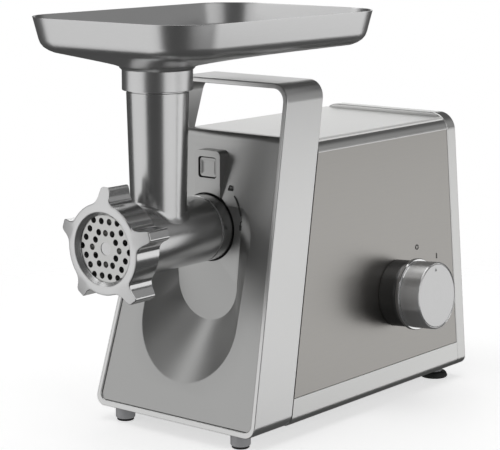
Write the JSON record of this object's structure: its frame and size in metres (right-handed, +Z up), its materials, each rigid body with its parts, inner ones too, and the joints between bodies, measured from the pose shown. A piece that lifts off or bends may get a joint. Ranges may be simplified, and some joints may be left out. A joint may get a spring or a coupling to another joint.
{
  "type": "electric meat grinder",
  "caption": "Electric meat grinder with a leaning handle frame, twist-lock grinding head, ring nut, feed tray and side switch knob.",
  "frame": {"origin": "centre of the footprint, on the worktop", "axes": "-Y towards the grinding head's outlet, +X towards the switch knob, +Z up"},
  "size_m": [0.2078, 0.3836, 0.333],
  "materials": {
    "housing_shell": "light satin metal rails",
    "front_fascia": "mid-grey fine satin metal",
    "arch_frame": "light bead-blasted satin",
    "rear_frame": "light satin",
    "rear_panel": "fine texture",
    "side_panels": "warm grey, brushed front to back",
    "top_plate": "brushed front to back",
    "base_plate": "fine texture",
    "feet": "smooth grey",
    "foot_pads": "matt black",
    "screws": "dark zinc",
    "socket": "turned",
    "gasket": "matt black",
    "gland": "matt black",
    "gear_case": "raw die cast",
    "steel": "machined",
    "bronze": "sintered bronze",
    "laminations": "varnished laminations",
    "copper": "turned copper",
    "black_plastic": "moulded",
    "board": "solder mask",
    "knob_dark": "dark brushed, ringed",
    "knob_light": "circumferentially brushed",
    "knob_bright": "bright turned edge",
    "nylon": "natural nylon",
    "head_metal": "polished casting",
    "plate_metal": "fine ground, slightly grainy",
    "nut_metal": "satin face, polished sides",
    "tray_metal": "satin spun and polished"
  },
  "bodies": {
    "base": {"housing_shell": "housing_shell", "front_fascia": "front_fascia", "arch_frame": "arch_frame", "rear_frame": "rear_frame", "rear_panel": "rear_panel", "side_panel_left": "side_panels", "side_panel_right": "side_panels", "top_plate": "top_plate", "base_plate": "base_plate", "front_feet": "feet", "rear_feet": "feet", "foot_pads": "foot_pads", "case_screws": "screws", "head_socket": "socket", "port_gasket": "gasket", "cord_gland": "gland", "gear_case": "gear_case", "gear_cover": "gear_case", "gear_screws": "screws", "bearings": "bronze", "motor_can": "steel", "stator": "laminations", "end_bells": "gear_case", "brush_holders": "bronze", "control_board": "board", "switch_body": "black_plastic", "knob_bezel": "knob_dark", "button_spring": "steel"},
    "motor_rotor": {"rotor": "laminations", "commutator": "copper", "fan": "black_plastic", "motor_pinion": "steel"},
    "first_gear": {"first_gear": "nylon"},
    "second_gear": {"second_gear": "steel"},
    "feed_screw": {"output_gear": "steel", "output_shaft": "steel", "auger": "head_metal", "knife": "steel"},
    "head": {"head_casting": "head_metal", "rear_bush": "bronze", "cutting_plate": "plate_metal"},
    "ring_nut": {"ring_nut": "nut_metal"},
    "tray": {"tray": "tray_metal"},
    "release_button": {"release_button": "front_fascia", "latch_pin": "steel"},
    "knob": {"knob_body": "knob_light", "knob_flange": "knob_bright", "knob_cap": "knob_light", "knob_shaft": "steel"}
  },
  "joints": [
    {"name": "feed_screw_turn", "type": "hinge", "parent": "base", "child": "feed_screw", "pos_m": [-0.01594, -0.06525, 0.163], "axis": [0, 1, 0], "continuous": true},
    {"name": "second_gear_turn", "type": "hinge", "parent": "base", "child": "second_gear", "pos_m": [-0.04594, -0.00025, 0.11104], "axis": [0, 1, 0], "continuous": true},
    {"name": "first_gear_turn", "type": "hinge", "parent": "base", "child": "first_gear", "pos_m": [-0.00162, 0.01475, 0.10322], "axis": [0, 1, 0], "continuous": true},
    {"name": "motor_turn", "type": "hinge", "parent": "base", "child": "motor_rotor", "pos_m": [-0.01594, 0.07475, 0.06056], "axis": [0, 1, 0], "continuous": true},
    {"name": "head_twist", "type": "hinge", "parent": "base", "child": "head", "pos_m": [-0.01594, -0.06525, 0.163], "axis": [0, 1, 0], "range_deg": [0, 50]},
    {"name": "ring_nut_turn", "type": "hinge", "parent": "head", "child": "ring_nut", "pos_m": [-0.01594, -0.17425, 0.163], "axis": [0, -1, 0], "range_deg": [0, 720]},
    {"name": "tray_lift", "type": "slide", "parent": "head", "child": "tray", "axis": [0, 0, 1], "range_m": [0, 0.06]},
    {"name": "button_press", "type": "slide", "parent": "base", "child": "release_button", "axis": [0, 1, 0], "range_m": [0, 0.004], "stiffness_N_per_m": 800, "springref_m": -0.001, "deforming": ["button_spring"]},
    {"name": "knob_turn", "type": "hinge", "parent": "base", "child": "knob", "pos_m": [0.06191, 0.09075, 0.093], "axis": [0.9971, 0, 0.0767], "range_deg": [-45, 45]}
  ],
  "couplings": [
    {"joint": "second_gear_turn", "follows": "feed_screw_turn", "ratio": -4},
    {"joint": "first_gear_turn", "follows": "feed_screw_turn", "ratio": 16},
    {"joint": "motor_turn", "follows": "feed_screw_turn", "ratio": -80}
  ]
}
